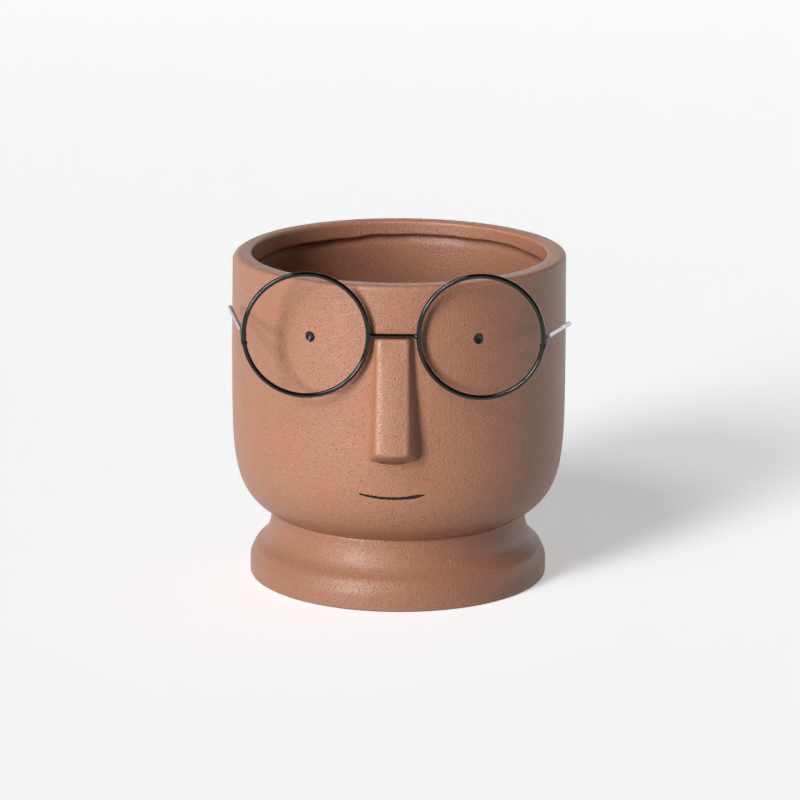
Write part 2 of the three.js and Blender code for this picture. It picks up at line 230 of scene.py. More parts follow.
class StageSettings(bpy.types.PropertyGroup):
    """Camera and light of the studio."""

    camera_place: FloatVectorProperty(
        name="Camera place",
        description="Where the camera stands",
        default=(0.041704, -1.347439, 0.415593),
        size=3,
        subtype="TRANSLATION",
        unit="LENGTH",
    )
    camera_turn: angle("Camera turn", "Turn of the camera about the pot", 1.75)
    camera_pitch: angle("Camera pitch", "How far the camera looks down", 14.402)
    camera_roll: angle("Camera roll", "Tilt of the camera about its own axis", 0.292)
    lens: FloatProperty(
        name="Lens",
        description="Focal length of the camera in millimetres",
        default=157.912,
        min=1.0,
        subtype="DISTANCE_CAMERA",
        unit="CAMERA",
    )
    key_turn: angle("Key turn", "Turn of the main light about the pot, from the face", -35.5)
    key_rise: angle("Key rise", "Height of the middle of the tall main light above the horizon", 28.0)
    key_step: angle("Key step", "Rise from one lamp of the main light to the next above it", 20.0)
    key_width: angle("Key width", "Width of the main light as the pot sees it", 16.0)
    key_low: amount("Key low", "Lowest lamp of the main light on a surface that faces it", 0.50, 10.0)
    key_middle: amount("Key middle", "Middle lamp of the main light on a surface that faces it", 0.48, 10.0)
    key_high: amount("Key high", "Highest lamp of the main light on a surface that faces it", 0.20, 10.0)
    fill: amount("Fill", "Strength of the studio's dim surroundings", 0.047, 4.0)
    side_turn: angle("Side turn", "Turn of the pale panel about the pot, from the face", 105.0)
    side_rise: angle("Side rise", "Height of the pale panel above the horizon", 9.0)
    side_distance: length("Side distance", "From the pot to the pale panel", 1.6)
    side_width: length("Side width", "Width of the pale panel", 1.2)
    side_height: length("Side height", "Height of the pale panel", 0.4)
    side_strength: amount("Side strength", "Pale panel at the right on a surface that faces it", 0.11, 4.0)
    sweep_glow: amount("Sweep glow", "Share of white that the floor shows the camera", 0.42)


# Places on the surfaces


def graded(low, high, step, *windows):
    """Places from low to high about a step apart, closer in each window (middle, half width, fine step).

    The count of places per length is 1 / step, raised to 1 / fine inside a window and falling off steeply
    past its half width. The running sum of that count is then cut into equal shares.
    """
    samples = 6001
    line = np.linspace(low, high, samples)
    density = np.full_like(line, 1 / step)
    for middle, half, fine in windows:
        density = np.maximum(density, 1 / fine / (1 + (np.abs(line - middle) / half) ** 8))
    shares = (density[1:] + density[:-1]) / 2 * np.diff(line)
    running = np.concatenate([[0], np.cumsum(shares)])
    count = max(2, math.ceil(running[-1]))
    return np.interp(np.linspace(0, running[-1], count + 1), running, line)


def bezier(corners, shares):
    """Cubic Bezier curve: four corners weighted by (1-t)^3, 3t(1-t)^2, 3t^2(1-t) and t^3."""
    t = np.asarray(shares)[:, None]
    weights = np.concatenate([(1 - t) ** 3, 3 * t * (1 - t) ** 2, 3 * t**2 * (1 - t), t**3], 1)
    return weights @ np.asarray(corners, float)


def once_round(count):
    """Angles of a full turn, evenly spaced."""
    return np.linspace(0, TURN, count, endpoint=False)


def carried(radius, turn, height):
    """Points at a radius, a turn from the middle of the face and a height, each a number or a grid."""
    return np.stack(np.broadcast_arrays(radius * np.sin(turn), -radius * np.cos(turn), height), -1)


def arc(radius, height, round_, start, end, count):
    """Points (radius, height) of a round edge about a middle, from one angle to another."""
    angles = np.linspace(start, end, count)
    return np.stack([radius + round_ * np.cos(angles), height + round_ * np.sin(angles)], 1)


def smooth_step(value, low, high):
    """0 below low, 1 above high, and 3t^2 - 2t^3 between them."""
    t = np.clip((value - low) / (high - low), 0, 1)
    return t * t * (3 - 2 * t)


def bell(value, middle, width):
    """1 at the middle, falling off on both sides as exp(-((value - middle) / width)^2)."""
    return np.exp(-(((value - middle) / width) ** 2))


def bowl_curve(pot, waist_shift, wall_shift):
    """Profile from the waist to the straight wall, for a wall shifted inwards by two amounts."""
    waist = pot.waist_radius - waist_shift
    wall = pot.radius - wall_shift
    outwards = pot.waist_reach * math.cos(pot.waist_slope)
    upwards = pot.waist_reach * math.sin(pot.waist_slope)
    corners = [
        (waist, pot.waist_height),
        (waist + outwards, pot.waist_height + upwards),
        (wall, pot.wall_start - pot.wall_reach),
        (wall, pot.wall_start),
    ]
    return bezier(corners, np.linspace(0, 1, 400))


def foot_curve(pot, neck, widest, band):
    """Profile from the foot's neck at the waist down to its widest ring."""
    corners = [
        (neck, pot.waist_height),
        (neck, pot.waist_height - pot.foot_neck),
        (widest, band + pot.foot_shoulder),
        (widest, band),
    ]
    return bezier(corners, np.linspace(0, 1, 90))


def joint_line(pot, height):
    """Depth of the fine line at a height where bowl and foot are luted: a bell about the waist."""
    return pot.joint_line * bell(height, pot.waist_height, pot.joint_width)


def flat_ring(start, end, height):
    """Three points (radius, height) evenly between two radii, at one height."""
    radii = np.linspace(start, end, 5)[1:-1]
    return np.stack([radii, np.full(3, height)], 1)


def uneven(pot, turn, height):
    """Inward shift of the hand-finished clay: a few slow waves round the pot that drift with height."""
    waves = np.sin(2 * turn + 0.6) + 0.7 * np.sin(3 * turn + 2.1 + 9 * height)
    waves = waves + 0.4 * np.sin(5 * turn - 1.2 + 31 * height)
    return pot.unevenness * (waves + 2.1) / 4.2


def shortfall(pot, turn, height):
    """How far the bowl falls short of its true round: the unevenness and the lean of the upper wall."""
    return uneven(pot, turn, height) + pot.lean * smooth_step(height, pot.wall_start, pot.height)


def wall_radius(pot, turn, height):
    """Radius of the bowl's outside: the profile's radius at a height, less what it falls short by."""
    curve = bowl_curve(pot, 0, 0)
    return np.interp(height, curve[:, 1], curve[:, 0]) - shortfall(pot, turn, height)


def on_wall(pot, turn, height, out):
    """Points at a turn and a height, some way out of the bowl's wall along its radius."""
    return carried(wall_radius(pot, turn, height) + out, turn, height)


def eye_place(name):
    """Turn and height of an eye's middle, from its packed solid."""
    low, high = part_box(name)
    middle = (low + high) / 2
    return math.atan2(middle.x, -middle.y), middle.z


def mouth_line(face, share):
    """Turn, height and half width of the mouth at a share of its length.

    The height follows a parabola. The half width grows from a fine start to a swelling before the right
    end, like a stroke of a point dragged through the clay, with a little raggedness.
    """
    turn = face.mouth_left + (face.mouth_right - face.mouth_left) * share
    height = face.mouth_height - 4 * face.mouth_sag * share * (1 - share)
    width = 0.56 + 0.30 * smooth_step(share, 0, 0.5) + 0.26 * bell(share, 0.84, 0.1)
    width = width - 0.42 * smooth_step(share, 0.9, 0.965)
    ragged = 1 + 0.05 * np.sin(61 * share) + 0.04 * np.sin(143 * share + 1) + 0.03 * np.sin(229 * share)
    ends = np.sqrt(np.clip(1 - np.abs(2 * share - 1) ** 24, 0, 1))
    return turn, height, face.mouth_width / 2 * width * ragged * ends


# Grids of points made into meshes


def lattice(points, low_pole=None, high_pole=None, wrap_rows=False):
    """One closed skin: rows of points whose columns close on themselves.

    A face takes two neighbours in a row and two in the next, in the order that turns its front towards
    column direction x row direction. The rows close on each other, or end in a pole at each end.
    """
    rows, columns = points.shape[:2]
    ids = np.arange(rows * columns).reshape(rows, columns)
    upper = np.roll(ids, -1, 0) if wrap_rows else ids[1:]
    lower = ids if wrap_rows else ids[:-1]
    quads = np.stack([lower, np.roll(lower, -1, 1), np.roll(upper, -1, 1), upper], -1).reshape(-1, 4)
    vertices = [points.reshape(-1, 3)]
    triangles = []
    if not wrap_rows:
        first, last = rows * columns, rows * columns + 1
        low = points[0].mean(0) if low_pole is None else low_pole
        high = points[-1].mean(0) if high_pole is None else high_pole
        vertices += [np.asarray(low, float)[None], np.asarray(high, float)[None]]
        ring = ids[0]
        triangles.append(np.stack([np.full(columns, first), np.roll(ring, -1), ring], 1))
        ring = ids[-1]
        triangles.append(np.stack([ring, np.roll(ring, -1), np.full(columns, last)], 1))
    triangles = np.concatenate(triangles) if triangles else np.zeros((0, 3), int)
    return np.concatenate(vertices), quads, triangles


def tube(path, side, up, half_width, half_height, columns):
    """Ellipse carried along a path: path + side * a cos(angle) + up * b sin(angle).

    side x up is the path's direction.
    """
    angles = once_round(columns)[:, None]
    width = np.asarray(half_width).reshape(-1, 1, 1)
    height = np.asarray(half_height).reshape(-1, 1, 1)
    across = np.asarray(side).reshape(-1, 1, 3) * np.cos(angles) * width
    return np.asarray(path)[:, None] + across + np.asarray(up).reshape(-1, 1, 3) * np.sin(angles) * height


def rounded_ends(low, high, edge, steps=5):
    """Heights and insets of the rows of a solid with quarter-round edges at both ends."""
    angles = np.linspace(math.pi / 2, 0, steps)
    rises = edge * (1 - np.sin(angles))
    insets = edge * (1 - np.cos(angles))
    return np.concatenate([low + rises, high - rises[::-1]]), np.concatenate([insets, insets[::-1]])


def bored(outline, bore, low, high, edge):
    """Skin of an upright block with a round hole: an outline about its axis, carried from low to high.

    The rows climb the outside at the outline's radius less an inset that rounds the edges, and come back
    down the hole, so they close on themselves.
    """
    angles = once_round(len(outline))
    heights, insets = rounded_ends(low, high, edge, 4)
    outside = outline[None] - insets[:, None]
    inside = np.broadcast_to(bore + insets[::-1, None] * 0.5, outside.shape)
    radius = np.concatenate([outside, inside])
    height = np.concatenate([heights, heights[::-1]])[:, None]
    points = np.broadcast_arrays(radius * np.cos(angles), radius * np.sin(angles), height)
    return lattice(np.stack(points, -1), wrap_rows=True)


def moved(skin, place):
    """A skin shifted to a place."""
    vertices, quads, triangles = skin
    return vertices + np.asarray(place, float), quads, triangles


def make_piece(name, skins, material, body, slot, nodes, **marks):
    """Object of one or more closed skins, which rides on a body and stands for packed solids.

    All corners are set as whole arrays, and every face is smooth. marks are named numbers for each vertex
    that the material reads.
    """
    mesh = bpy.data.meshes.new(name)
    counts = np.cumsum([0] + [len(skin[0]) for skin in skins])
    vertices = np.concatenate([skin[0] for skin in skins])
    quads = np.concatenate([skin[1] + start for skin, start in zip(skins, counts)])
    triangles = np.concatenate([skin[2] + start for skin, start in zip(skins, counts)])
    corners = np.concatenate([quads.ravel(), triangles.ravel()]).astype(np.int32)
    sides = np.concatenate([np.full(len(quads), 4), np.full(len(triangles), 3)])
    starts = np.concatenate([[0], np.cumsum(sides)[:-1]]).astype(np.int32)
    mesh.vertices.add(len(vertices))
    mesh.vertices.foreach_set("co", vertices.astype(np.float32).ravel())
    mesh.loops.add(len(corners))
    mesh.loops.foreach_set("vertex_index", corners)
    mesh.polygons.add(len(sides))
    mesh.polygons.foreach_set("loop_start", starts)
    mesh.polygons.foreach_set("use_smooth", np.ones(len(sides), bool))
    mesh.update(calc_edges=True)
    if mesh.validate():
        raise ValueError(f"{name} has faces that aren't sound")
    for label, values in marks.items():
        mark = mesh.attributes.new(label, "FLOAT", "POINT")
        mark.data.foreach_set("value", np.asarray(values, np.float32))
    mesh.materials.append(material)
    piece = bpy.data.objects.new(name, mesh)
    bpy.context.scene.collection.objects.link(piece)
    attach(piece, body)
    if nodes:
        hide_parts(*nodes)
    return piece


# Shapes of the pot


def collar_foot(pot, turn):
    """Height of the collar's lower edge at a turn.

    The collar is a coil of clay pressed inside the lip. It hangs lower at the sides than at the back, and
    steps down where its end laps over its start behind the left side, with a slight ripple.
    """
    side_fade, lap_rise, lap_fade = np.radians(((106, 142), (-170, -158), (-100, -20)))
    sides = (1 - smooth_step(np.abs(turn), *side_fade)) * pot.collar_side
    lap = smooth_step(turn, *lap_rise) * (1 - smooth_step(turn, *lap_fade)) * pot.collar_lap
    ripple = 0.00012 * np.sin(11 * turn + 0.4) + 0.00008 * np.sin(23 * turn)
    return pot.height - pot.collar - sides - lap + ripple


def pressed(pot, face, eyes, turns, level):
    """How far the outside is pushed in: a paraboloid at each eye, and a parabola across the mouth."""
    push = np.zeros_like(level)
    for turn, middle in eyes:
        away = np.hypot((turns - turn) * pot.radius, level - middle) / (EYE_BRIM * face.eye_radius)
        push = np.maximum(push, face.eye_pocket * np.clip(1 - away**2, 0, None))
    share = (turns - face.mouth_left) / (face.mouth_right - face.mouth_left)
    _, line, half = mouth_line(face, np.clip(share, 0, 1))
    past_the_line = 9
    away = np.abs(level - line) / np.maximum(half, 1e-6)
    away = np.where((share > 0) & (share < 1), away, past_the_line)
    return np.maximum(push, face.mouth_groove * np.clip(1 - away**2, 0, None))


def bowl_skin(pot, face):
    """The bowl: a closed profile carried round the axis, pushed in at the eyes and along the mouth.

    The profile climbs the outside, rounds the lip, goes down the collar and the crease under it, follows
    the inside back to the waist and crosses the seat. It also gives how much painted shade darkens each
    point's clay: some inside the bowl, most in the crease under the collar.
    """
    eyes = [eye_place(name) for name in ("left_eye", "right_eye")]
    eye_window = 1.25 * face.eye_radius
    mouth_middle = (face.mouth_left + face.mouth_right) / 2
    mouth_window = 1.03 * (face.mouth_right - face.mouth_left) / 2
    coarse, eye_step, mouth_step = np.radians((2.0, 0.17, 0.33))
    turns = graded(
        -math.pi,
        math.pi,
        coarse,
        *[(turn, eye_window / pot.radius, eye_step) for turn, _ in eyes],
        (mouth_middle, mouth_window, mouth_step),
    )[:-1]
    heights = graded(
        pot.waist_height,
        pot.height - pot.lip_round - pot.lip_soft,
        0.0016,
        (eyes[0][1], eye_window, 0.0002),
        (face.mouth_height - face.mouth_sag / 2, 0.0018, 0.00012),
        (pot.waist_height, 0.0008, 0.0002),
    )
    curve = bowl_curve(pot, 0, 0)
    outside = np.interp(heights, curve[:, 1], curve[:, 0])
    soft_width = 0.65
    lip_round = pot.lip_round + pot.lip_soft * bell(turns, pot.lip_soft_turn, soft_width)
    round_angles = np.linspace(0, math.pi / 2, 18)[:, None]
    brow_radius = pot.radius - lip_round * (1 - np.cos(round_angles))
    brow_height = pot.height - lip_round * (1 - np.sin(round_angles))
    lip_inside = pot.radius - pot.lip
    face_top = pot.height - pot.lip_edge
    lip = arc(lip_inside + pot.lip_edge, face_top, pot.lip_edge, math.pi / 2, math.pi, 7)[1:]

    foot = collar_foot(pot, turns)
    collar_edge = 0.0005
    face_share = np.linspace(0, 1, 9)[1:, None]
    face_height = face_top + (foot + collar_edge - face_top) * face_share
    under = [(0.25, 0.3), (0.55, 0.05), (1.0, -0.1), (1.6, -0.25), (2.1, -0.7)]
    under += [(2.25, -1.3), (2.1, -1.9), (1.8, -2.6), (1.5, -3.4)]
    under = np.array(under) / 1000
    under_radius = lip_inside + np.minimum(under[:, :1], pot.lip - pot.wall + pot.crease)
    under_height = foot + under[:, 1:]
    wall_share = np.linspace(0, 1, 18)[1:-1, None]
    wall_height = under_height[-1] + (pot.wall_start - under_height[-1]) * wall_share
    wall_inside = pot.radius - pot.wall
    settle_reach = 0.0012
    settle = np.exp(-(under_height[-1] - wall_height) / settle_reach)
    wall_row = wall_inside + (under_radius[-1] - wall_inside) * settle
    inner = bowl_curve(pot, pot.seat, pot.wall)[::-8]
    seat = flat_ring(pot.waist_radius - pot.seat, pot.waist_radius, pot.waist_height)

    rows = [
        (outside[:, None], heights[:, None]),
        (brow_radius, brow_height),
        (lip[:, :1], lip[:, 1:]),
        (lip_inside, face_height),
        (under_radius, under_height),
        (wall_row, wall_height),
        (inner[:, :1], inner[:, 1:]),
        (seat[:, :1], seat[:, 1:]),
    ]
    grids = [np.broadcast_arrays(*row, turns) for row in rows]
    radius, height = (np.concatenate([grid[part] for grid in grids]) for part in (0, 1))
    radius = radius - shortfall(pot, turns, height)
    level = height[: len(heights)]
    radius[: len(heights)] -= pressed(pot, face, eyes, turns, level) + joint_line(pot, level)
    # Painted shade: 1 marks the clay inside the bowl and up to 3 the crease under the collar, for the clay
    # material to darken it
    inside = np.zeros(len(radius))
    collar = len(heights) + len(brow_radius) + len(lip)
    crease = collar + len(face_share)
    inside[collar:] = 1
    inside[crease : crease + len(under)] = np.interp(np.arange(len(under)), (0, 1, 5, 8), (1, 3, 3, 1))
    return lattice(carried(radius, turns, height), wrap_rows=True), np.repeat(inside, len(turns))


def foot_skin(pot):
    """The foot: a profile from the middle of its underside, up the outside and down to its floor."""
    edge = arc(pot.foot_radius - pot.foot_edge, pot.foot_edge, pot.foot_edge, -math.pi / 2, 0, 9)
    under = np.stack([np.linspace(0.1, 1, 8)[:-1] * edge[0, 0], np.zeros(7)], 1)
    outside = foot_curve(pot, pot.waist_radius, pot.foot_radius, pot.foot_band)[::-1]
    groove_width = 0.0017
    outside[:, 0] -= pot.foot_groove * bell(outside[:, 1], pot.groove_height, groove_width)
    outside[:, 0] -= joint_line(pot, outside[:, 1])
    throat = pot.waist_radius - pot.seat
    seat = flat_ring(outside[-1, 0], throat, pot.waist_height)
    inside = foot_curve(pot, throat, pot.foot_radius - pot.foot_wall, pot.floor)[::3]
    floor = np.stack([np.linspace(1, 0.05, 9) * inside[-1, 0], np.full(9, pot.floor)], 1)[1:]
    profile = np.concatenate([under, edge, outside[1:], seat, inside, floor])
    radius, height = profile[:, :1], profile[:, 1:]
    turns = once_round(240)
    full_waves = 0.03
    radius = radius - uneven(pot, turns, height) * smooth_step(radius, 0, full_waves)
    return lattice(carried(radius, turns, height), (0, 0, 0), (0, 0, pot.floor))


def nose_skin(pot, face):
    """The nose: closed level sections stacked from its underside to its top.

    A section runs from the left root inside the wall out along the side, round the front edge, across the
    front and back to the right root. Its width and depth change in a straight line with height, its sides
    spread by the draft and swell a little at the wall, and the last rows draw in to round both ends. The
    front is crowned by a parabola. The lowest sections rise towards the front and, by a parabola, towards
    both sides. A pinhole is sunk into the front face. The two front edges are marked for a painted
    highlight, the lit left one more than the right.
    """
    tall = face.nose_top - face.nose_foot
    steps = 9
    ends, insets = rounded_ends(0, tall, face.nose_end, steps)
    taper = face.nose_top_depth - face.nose_depth
    pit_share = (face.pit_height - face.nose_foot) / tall
    pit_out = face.nose_depth + taper * pit_share
    pit_rise = face.pit_height - face.nose_foot - (1 - pit_share) * math.tan(face.nose_slope) * pit_out
    middle = graded(ends[steps - 1], ends[steps], 0.0007, (pit_rise, 0.0012, 0.00013))[1:-1]
    rise = np.concatenate([ends[:steps], middle, ends[steps:]])[:, None]
    inset = np.concatenate([insets[:steps], np.zeros(len(middle)), insets[steps:]])[:, None]
    share = np.clip(rise / tall, 0, 1)
    half = (face.nose_tip_width + (face.nose_top_width - face.nose_tip_width) * share) / 2 - inset
    depth = face.nose_depth + taper * share - inset
    draft = math.tan(face.nose_draft)
    edge = np.minimum(face.nose_edge, depth / 2)

    usual_half = 0.0055
    front = graded(-1, 1, 0.05, (face.pit_across / usual_half, 0.16, 0.024))[None]
    front_x = front * (half - edge)
    flat_depth, crowned_depth = 0.002, 0.005
    crown = face.nose_crown * smooth_step(depth, flat_depth, crowned_depth)
    front_out = depth - crown * front**2
    bend = np.linspace(0, 1, 9)[None, 1:]
    edge_x = (half - edge) * (1 - bend) ** 2 + 2 * half * bend * (1 - bend)
    edge_x = edge_x + (half + edge * draft) * bend**2
    edge_out = depth - crown - edge * bend**2
    plane = wall_radius(pot, 0, face.nose_foot + rise * (1 - 0.12 * (1 - share))) - pot.radius
    root = plane - face.nose_root
    inwards = np.linspace(0, 1, 26)[None, 1:] ** 0.75
    side_start = depth - crown - edge
    side_out = side_start + (root - side_start) * inwards
    side_x = half + (depth - crown - side_out) * draft
    level = plane - side_x**2 / (2 * pot.radius)
    fillet_reach = 0.0006
    side_x = side_x + face.nose_fillet * np.exp(-np.clip(side_out - level, 0, None) / fillet_reach)
    right_x = np.concatenate([edge_x, side_x], 1)
    right_out = np.concatenate([edge_out, side_out], 1)
    back = np.linspace(1, -1, 14)[None, 1:-1]
    across = np.concatenate([-right_x[:, ::-1], front_x, right_x, back * right_x[:, -1:]], 1)
    out = np.concatenate([right_out[:, ::-1], front_out, right_out, np.repeat(root, back.shape[1], 1)], 1)

    slope = (1 - share) * math.tan(face.nose_slope)
    height = face.nose_foot + rise + slope * np.clip(out, -0.002, None)
    corner = 0.0095
    height = height + face.nose_belly * (1 - share) ** 4 * np.clip(across / corner, -1.05, 1.05) ** 2
    in_front = np.zeros(across.shape[1], bool)
    in_front[right_x.shape[1] : right_x.shape[1] + front.shape[1]] = True
    away = np.hypot(across - face.pit_across, height - face.pit_height)
    out = out - np.where(in_front, face.pit_depth * bell(away, 0, face.pit_radius), 0)
    # Painted highlight marks on the front edges: the lit left edge fully, the shaded right edge at a
    # quarter
    ridge = np.sin(math.pi * np.linspace(0.35, 1, bend.shape[1]))
    side = np.concatenate([ridge, np.zeros(inwards.shape[1])])
    right_share = 0.25
    shoulder = smooth_step(np.abs(front[0]), 0.8, 1.0) * np.where(front[0] < 0, 1, right_share)
    rubbed = np.concatenate([side[::-1], shoulder, side * right_share, np.zeros(back.shape[1])])
    marks = np.append(np.tile(rubbed, len(rise)), (0, 0))
    return lattice(np.stack([across, -(pot.radius + out), height], -1)), marks


def eye_skin(pot, face, turn, height):
    """An eye: a dished disc of enamel that lines its pocket, carried round the eye's own middle.

    From the middle of its back it follows the pocket's paraboloid out to a thin brim that laps the clay,
    and returns along a shallower paraboloid. The brim wanders a little, as brushed enamel does.
    """
    columns = once_round(72)
    coat = 0.00004
    brim_inside = 0.97
    share = np.linspace(0.06, 1, 14)
    back = np.stack([share, -face.eye_pocket * (1 - share**2) - coat], 1)
    brim = np.array([(EYE_BRIM, 0.00001), (EYE_BRIM, 0.00005), (1.0, 0.00008), (brim_inside, 0.00006)])
    inner = np.linspace(0.94, 0.04, 18)
    dish = np.stack([inner, -face.eye_dish * (1 - (inner / brim_inside) ** 2) ** 1.15 + coat], 1)
    profile = np.concatenate([back, brim, dish])
    wander = 1 + 0.02 * np.sin(2 * columns + turn * 9) + 0.012 * np.sin(5 * columns + 2)
    radius = face.eye_radius * profile[:, :1] * wander
    sideways = turn + radius * np.cos(columns) / pot.radius
    points = on_wall(pot, sideways, height + radius * np.sin(columns), profile[:, 1:])
    low = on_wall(pot, turn, height, -face.eye_pocket - coat)
    high = on_wall(pot, turn, height, coat - face.eye_dish)
    return lattice(points, low, high)


def mouth_skin(pot, face):
    """The mouth: a hollow stroke of enamel that lines the scratched line, as a section along its length.

    The section's face is a shallow parabola between two brims and its back a deeper one. It narrows to
    nothing at both ends.
    """
    share = graded(0.004, 0.996, 0.012, (0.0, 0.03, 0.003), (1.0, 0.06, 0.003))[:, None]
    turn, height, half = mouth_line(face, share)
    face_side = np.linspace(1, -1, 15)[None]
    back_side = np.linspace(-1, 1, 15)[None, 1:-1]
    fade = np.clip(half / (0.3 * face.mouth_width), 0, 1)
    brim, coat, brim_width = 0.00005, 0.00004, 1.04
    shallow = brim - face.mouth_depth * fade * (1 - face_side**2)
    deep = -face.mouth_groove * fade * (1 - back_side**2) - coat
    offset = np.concatenate([face_side * brim_width, back_side], 1)
    out = np.concatenate([shallow, deep], 1)
    points = on_wall(pot, np.broadcast_to(turn, out.shape), height + half * offset, out)
    return lattice(points)


# Shapes of the spectacles


def rim_skin(wear, middle):
    """A rim: a round wire bent into a ring in the plane of the spectacles."""
    around = once_round(180)
    outward = np.stack([np.cos(around), np.zeros_like(around), np.sin(around)], 1)
    path = np.asarray(middle) + wear.rim_radius * outward
    points = tube(path, outward, (0, 1, 0), wear.rim_wire, wear.rim_wire, 20)
    return lattice(points, wrap_rows=True)


def bridge_skin(wear, middle, reach):
    """The bridge: a straight wire whose ends swell into the braze at the rims."""
    along = graded(-reach, reach, 0.0008, (-reach, 0.0016, 0.00012), (reach, 0.0016, 0.00012))
    swell = wear.braze * np.exp(-(reach - np.abs(along)) / wear.braze_reach)
    radius = wear.bridge_wire + swell
    path = np.asarray(middle) + along[:, None] * np.array([1.0, 0, 0])
    return lattice(tube(path, (0, 1, 0), (0, 0, 1), radius, radius, 20))


def leaf_skins(wear, low, high, hinge):
    """A hinge's leaf: a rounded plate behind the rim, and an upper and a lower knuckle on webs.

    The plate is a rounded rectangle carried upwards. A knuckle's outline is the larger of its circle and
    of the web's straight sides, blended by the tenth power.
    """
    around = once_round(48)
    cosine, sine = np.cos(around), np.sin(around)
    heights, insets = rounded_ends(low.z, high.z, wear.edge)
    half_width = (high.x - low.x) / 2 - insets[:, None]
    half_depth = wear.leaf_thickness / 2 - insets[:, None]
    corner = (np.abs(cosine) ** 6 + np.abs(sine) ** 6) ** (-1 / 6)
    plate_x = hinge.x + half_width * corner * cosine
    plate_y = low.y + wear.leaf_thickness / 2 + half_depth * corner * sine
    plate = np.stack(np.broadcast_arrays(plate_x, plate_y, heights[:, None]), -1)
    nearly_none = 1e-6
    web_side = wear.web_width / 2 / np.maximum(np.abs(cosine), nearly_none)
    web_end = (hinge.y - low.y) / np.abs(sine - nearly_none)
    web = np.where(sine < 0, np.minimum(web_side, web_end) * 0.96, 0)
    outline = (wear.knuckle_radius**10 + web**10) ** 0.1
    half = (high.z - low.z) / 2
    inner = half - wear.knuckle_outer
    upper = bored(outline, wear.bore, inner, half, wear.edge)
    lower = bored(outline, wear.bore, -half, -inner, wear.edge)
    return [lattice(plate), moved(upper, hinge), moved(lower, hinge)]


def pin_skin(wear, low, high):
    """A hinge's pin: a shank between two domed heads, as a profile carried round its own axis."""
    half = (high.z - low.z) / 2
    head = (high.x - low.x) / 2
    dome = np.linspace(0.15, 1, 7)
    cap = np.stack([head * dome, half - wear.pin_head * 0.75 * dome**2.5], 1)
    under = half - wear.pin_head
    upper = np.concatenate([[(wear.pin_radius, under), (head * 0.97, under)], cap[::-1]])
    lower = upper[::-1] * (1, -1)
    profile = np.concatenate([lower, upper])
    points = carried(profile[:, :1], once_round(28), profile[:, 1:])
    middle = (np.asarray(low) + np.asarray(high)) / 2
    return moved(lattice(points, (0, 0, -half), (0, 0, half)), middle)


def temple_skins(wear, name, hinge):
    """A temple: a bored knuckle, a wire hammered flat beside it that runs to a cut end, and its bareness.

    The wire is an ellipse carried straight from the hinge to the end face of the packed solid. Its half
    width and half height pass smoothly from the flat neck to the round wire, and its last edge is a
    quarter round. It is bare beyond the lacquer by the hinge.
    """
    solid = frame["nodes"][name].data
    corners = np.empty(len(solid.vertices) * 3, np.float32)
    solid.vertices.foreach_get("co", corners)
    corners = corners.reshape(-1, 3).astype(float)
    place = np.asarray(hinge)
    away = np.linalg.norm(corners - place, axis=1)
    last = corners[away > away.max() - 0.000002]
    tip = (last.min(0) + last.max(0)) / 2
    reach = np.linalg.norm(tip - place)
    direction = (tip - place) / reach
    side = np.cross(direction, (0, 0, 1))
    side = side / np.linalg.norm(side)
    up = np.cross(side, direction)
    start, neck_end, wire_start = 0.0009, 0.0014, 0.0034
    end = reach - wear.temple_end
    turns = np.linspace(0, math.pi / 2, 7)[1:]
    neck = (neck_end + wire_start) / 2
    along = graded(start, end, 0.001, (neck, 0.0016, 0.0002), (wear.temple_bare, 0.001, 0.0003))
    closing = wear.temple_end * np.concatenate([np.zeros(len(along)), 1 - np.cos(turns)])
    along = np.concatenate([along, end + wear.temple_end * np.sin(turns)])
    swell = smooth_step(along, neck_end, wire_start)
    half_height = 0.92 * wear.knuckle_middle / 2
    width = wear.temple_neck + (wear.temple_wire - wear.temple_neck) * swell - closing
    height = half_height + (wear.temple_wire - half_height) * swell - closing
    path = place + along[:, None] * direction
    columns = 24
    wire = lattice(tube(path, side, up, width, height, columns), path[0], tip)
    half = wear.knuckle_middle / 2
    ring = bored(np.full(48, wear.knuckle_radius), wear.bore, -half, half, wear.edge)
    fade = 0.0006
    bare = smooth_step(along, wear.temple_bare - fade, wear.temple_bare + fade)
    bare = np.concatenate([np.repeat(bare, columns), [0, 1], np.zeros(len(ring[0]))])
    return [wire, moved(ring, hinge)], bare


def binding_skin(wear, middle, side, low, high):
    """Fine wire bound round the outer side of a rim between two heights.

    Its path is a helix about the rim's ring: the place on the ring moves slowly along the arc while the
    wire goes round it, at the sum of both radii from the middle of the rim's wire.
    """
    turns = 5
    share = np.linspace(0, 1, 40 * turns + 1)[:, None]
    rise = np.arcsin((low + (high - low) * share - middle[2]) / wear.rim_radius)
    outward = np.concatenate([side * np.cos(rise), 0 * rise, np.sin(rise)], 1)
    around = TURN * turns * share
    off = np.cos(around) * outward + np.sin(around) * np.array([0, 1.0, 0])
    away = wear.rim_wire + 0.9 * wear.binding_wire
    path = np.asarray(middle) + wear.rim_radius * outward + away * off
    ahead = np.gradient(path, axis=0)
    ahead = ahead / np.linalg.norm(ahead, axis=1)[:, None]
    across = np.cross(ahead, off)
    return lattice(tube(path, off, -across, wear.binding_wire, wear.binding_wire, 10))


# Stage and finishes


def sweep_mesh():
    """Floor that curves up into a backdrop: one profile of (depth, height) carried sideways."""
    near, far, reach, tall, bend = -6.0, 2.6, 6.0, 1.1, 0.8
    turns = np.linspace(-math.pi / 2, 0, 17)
    curve = np.stack([far - bend + bend * np.cos(turns), bend + bend * np.sin(turns)], 1)
    profile = np.concatenate([[(near, 0.0)], curve, [(far, tall)]])
    left = np.insert(profile, 0, -reach, 1)
    right = np.insert(profile, 0, reach, 1)
    count = len(profile)
    low = np.arange(count - 1)
    faces = np.stack([low, low + count, low + count + 1, low + 1], 1)
    mesh = bpy.data.meshes.new("sweep")
    mesh.from_pydata(np.concatenate([left, right]).tolist(), [], faces.tolist())
    mesh.shade_smooth()
    return mesh


